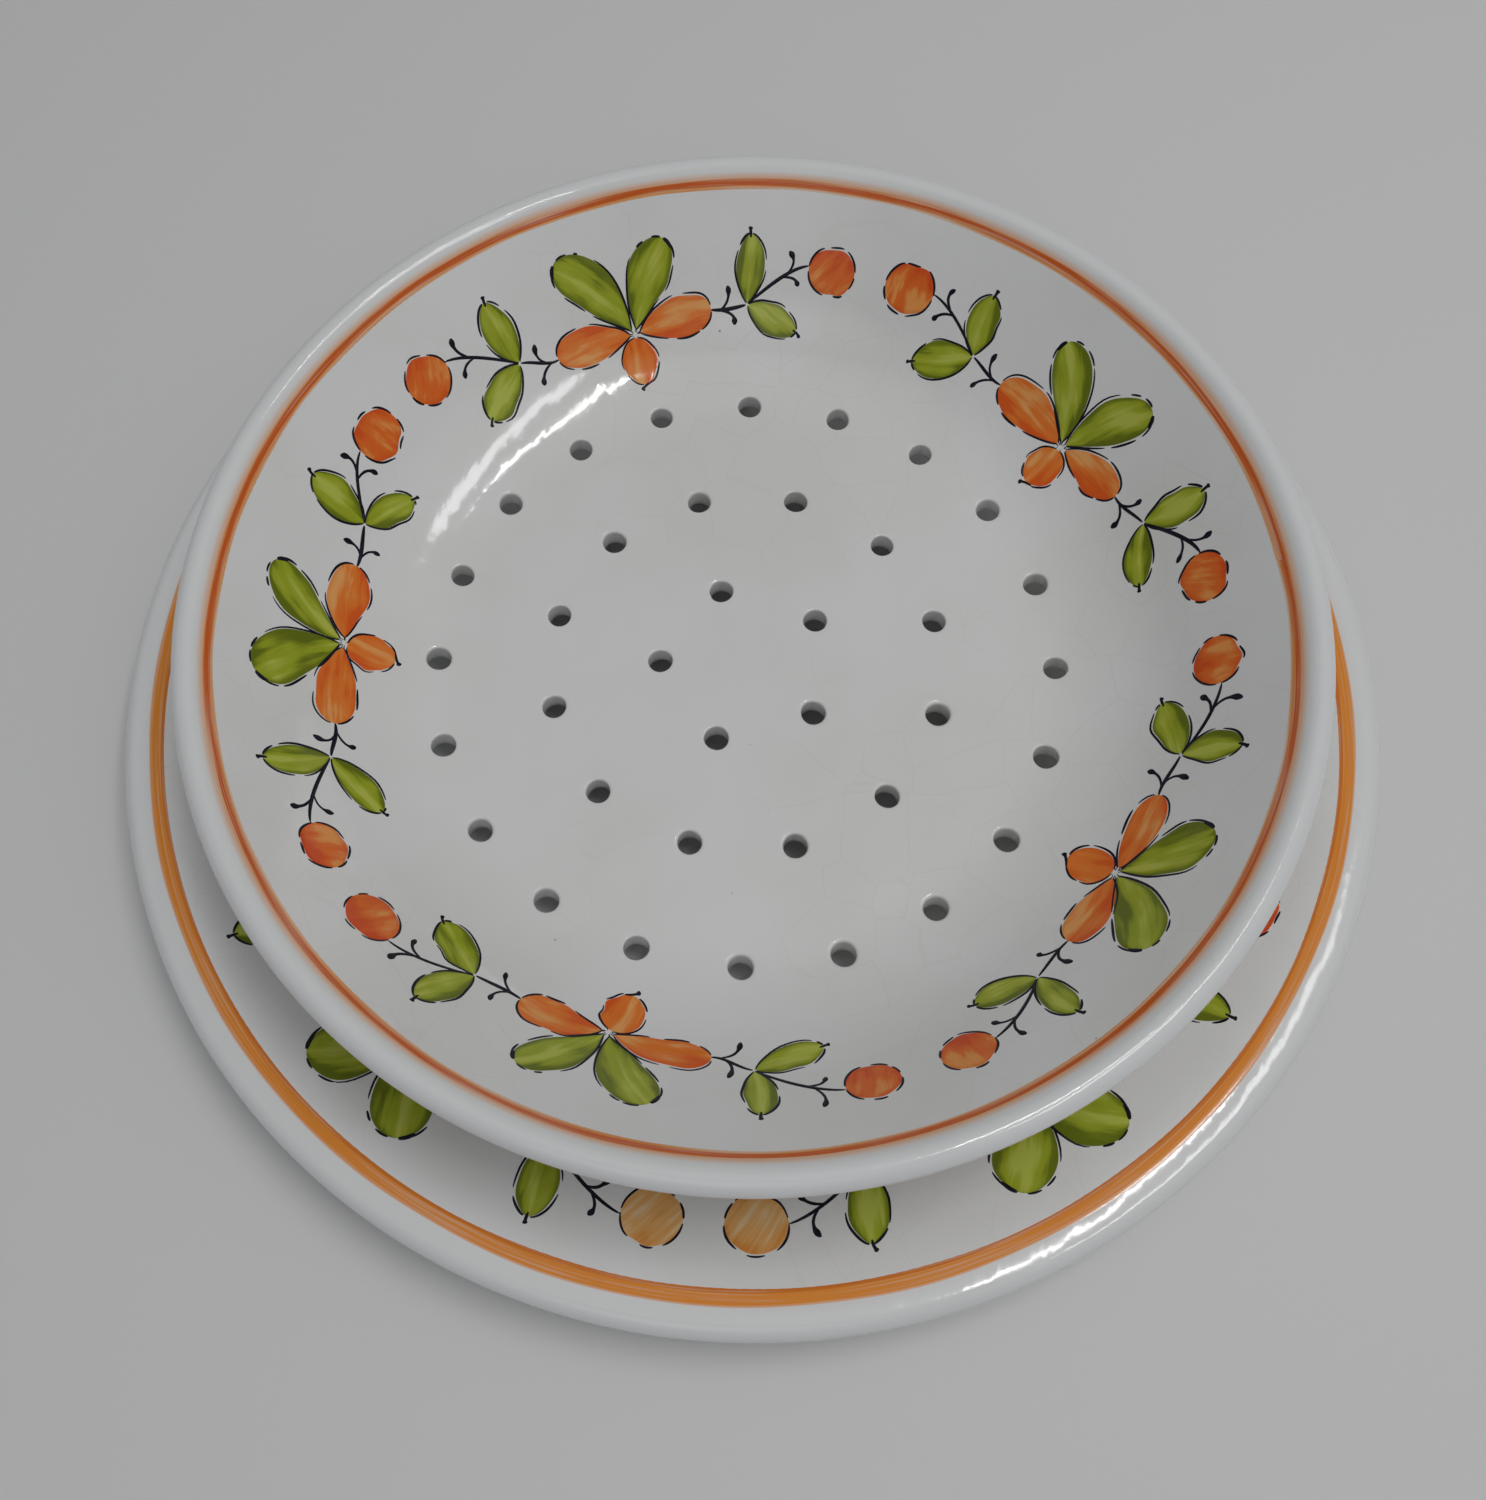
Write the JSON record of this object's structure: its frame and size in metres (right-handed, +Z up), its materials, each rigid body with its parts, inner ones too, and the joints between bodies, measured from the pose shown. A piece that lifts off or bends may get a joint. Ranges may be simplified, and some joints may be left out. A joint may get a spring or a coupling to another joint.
{
  "type": "berry colander bowl with drip plate",
  "caption": "Shallow pierced earthenware bowl on small stuck-on feet, standing in a wide footed drip plate that catches the water from washed berries; the bowl lifts off.",
  "frame": {"origin": "middle of the plate's foot ring, on the surface that the plate stands on", "axes": "+Z up along the axis that both the plate and the bowl are turned on; -Y towards the viewer of the picture; +X to the viewer's right"},
  "size_m": [0.3, 0.3, 0.0598],
  "materials": {
    "plate_glaze": "glossy ivory glaze with a painted berry garland and an amber band",
    "bowl_glaze": "glossy ivory glaze with a painted berry garland and an orange band",
    "foot_glaze": "glossy ivory glaze, wiped bare on the base"
  },
  "bodies": {
    "plate": {"drip_plate": "plate_glaze"},
    "colander": {"colander_bowl": "bowl_glaze", "back_foot": "foot_glaze", "left_foot": "foot_glaze", "right_foot": "foot_glaze"}
  },
  "joints": [
    {"name": "bowl_lift", "type": "slide", "parent": "plate", "child": "colander", "axis": [0, 0, 1], "range_m": [0, 0.1]}
  ]
}
